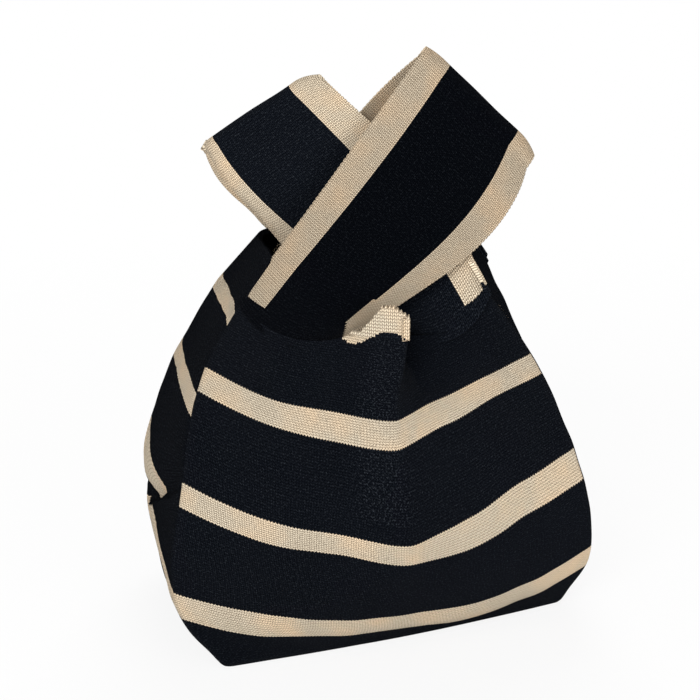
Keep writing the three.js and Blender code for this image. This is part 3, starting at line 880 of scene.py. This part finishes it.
# The left strap's cream and black are painted darker and the right strap's cream a little lighter: painted
# shade and painted light for how the light falls on each strap.
left_knit = knit_finish(
    "bordered knit of the left strap", strap_marks(strap_lengths[0], 3, 0.2, 5),
    depth=0.35, pale=(0.75, 0.73, 0.71),
)
right_knit = knit_finish(
    "bordered knit of the right strap", strap_marks(strap_lengths[1], 0, 0.3, 16),
    depth=1, pale=(1.04, 1.02, 1),
)
border_knit = knit_finish("cream knit of the mouth", mouth_marks, wale=wide_wale, course=wide_course)
base_knit = knit_finish("black knit of the base", no_marks)

# What each piece wears, rides on and stands for
pieces = [
    (front_panel, panel_knit, "black_knit",
     [f"front_black_{n}" for n in range(1, 5)] + [f"front_stripe_{n}" for n in range(1, 4)]),
    (back_panel, back_knit, "black_knit",
     [f"back_black_{n}" for n in range(1, 5)] + [f"back_stripe_{n}" for n in range(1, 4)]),
    (right_gusset, right_gusset_knit, "black_knit",
     [f"right_gusset_black_{n}" for n in range(1, 6)]
     + [f"right_gusset_stripe_{n}" for n in range(1, 5)]),
    (left_gusset, left_gusset_knit, "black_knit",
     [f"left_gusset_black_{n}" for n in range(1, 6)]
     + [f"left_gusset_stripe_{n}" for n in range(1, 5)]),
    (front_mouth_border, border_knit, "cream_knit", ["front_mouth_border"]),
    (back_mouth_border, border_knit, "cream_knit", ["back_mouth_border"]),
    (base, base_knit, "black_knit", ["base_panel"]),
]
for piece, knit, slot, nodes in pieces:
    piece.data.materials.append(knit)
    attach(piece, "bag")
    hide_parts(*nodes)
straps = (
    (left_strap_band, "left", left_knit, strap_lengths[0]),
    (right_strap_band, "right", right_knit, strap_lengths[1]),
)
for piece, side, knit, full in straps:
    piece.data.materials.append(knit)
    (full + 2 * strap_lap) * MM
    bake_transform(piece)
    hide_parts(*(f"{side}_strap_{part}" for part in ("outer_border", "centre", "inner_border")))

# Pale floor and soft light. The floor glows a little less near the bag, so that a shadow shows
glow_near, glow_from, glow_over = 0.86, 0.3, 0.4
bpy.ops.mesh.primitive_plane_add(size=8, location=(0, 0, -0.0002))
floor = bpy.context.object
floor.name = "floor"
floor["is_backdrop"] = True
pale = Finish("pale floor", 0.9, 0)
pale.shader.inputs["Base Color"].default_value = (0.85, 0.85, 0.85, 1)
seen = pale.node("ShaderNodeLightPath", {}, [])
straight = seen[0].math("MAXIMUM", seen[3]).math("MAXIMUM", seen[6])
spot = pale.node("ShaderNodeTexCoord", {}, [])[3]
distance = pale.node("ShaderNodeVectorMath", {"operation": "LENGTH"}, [spot])[1]
beyond = ((distance - glow_from) / glow_over).math("MAXIMUM", 0).math("MINIMUM", 1)
glow = pale.node("ShaderNodeEmission", {}, {"Color": (1, 1, 1, 1), "Strength": 1})[0]
blend = pale.tree.nodes.new("ShaderNodeMixShader")
pale.tree.links.new((straight * (beyond * (1 - glow_near) + glow_near)).socket, blend.inputs[0])
pale.tree.links.new(pale.shader.outputs[0], blend.inputs[1])
pale.tree.links.new(glow.socket, blend.inputs[2])
pale.tree.links.new(blend.outputs[0], pale.tree.nodes["Material Output"].inputs[0])
floor.data.materials.append(pale.material)

world = bpy.data.worlds.new("studio")
bpy.context.scene.world = world
world.use_nodes = True
sky = world.node_tree.nodes["Background"]
sky.inputs["Color"].default_value = (1, 1, 1, 1)
sky.inputs["Strength"].default_value = 0.45
clear = world.node_tree.nodes.new("ShaderNodeBackground")
clear.inputs["Color"].default_value = (1, 1, 1, 1)
clear.inputs["Strength"].default_value = 1
look = world.node_tree.nodes.new("ShaderNodeLightPath")
either = world.node_tree.nodes.new("ShaderNodeMath")
either.operation = "MAXIMUM"
world.node_tree.links.new(look.outputs["Is Camera Ray"], either.inputs[0])
world.node_tree.links.new(look.outputs["Is Transmission Ray"], either.inputs[1])
choice = world.node_tree.nodes.new("ShaderNodeMixShader")
world.node_tree.links.new(either.outputs[0], choice.inputs[0])
world.node_tree.links.new(sky.outputs[0], choice.inputs[1])
world.node_tree.links.new(clear.outputs[0], choice.inputs[2])
world.node_tree.links.new(choice.outputs[0], world.node_tree.nodes["World Output"].inputs[0])


def lamp(name, place, power, size):
    """A soft lamp that faces the middle of the bag."""
    bpy.ops.object.light_add(type="AREA", location=place)
    light = bpy.context.object
    light.name = name
    light.data.energy = power
    light.data.size = size
    aim = Vector((0, 0, 0.12)) - Vector(place)
    light.rotation_euler = aim.to_track_quat("-Z", "Y").to_euler()


lamp("key", (-0.6, -0.9, 0.7), 10, 0.7)
lamp("fill", (0.6, -1.1, 0.04), 13, 0.8)
lamp("rim", (0.2, 0.7, 1), 7, 0.8)

low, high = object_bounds()
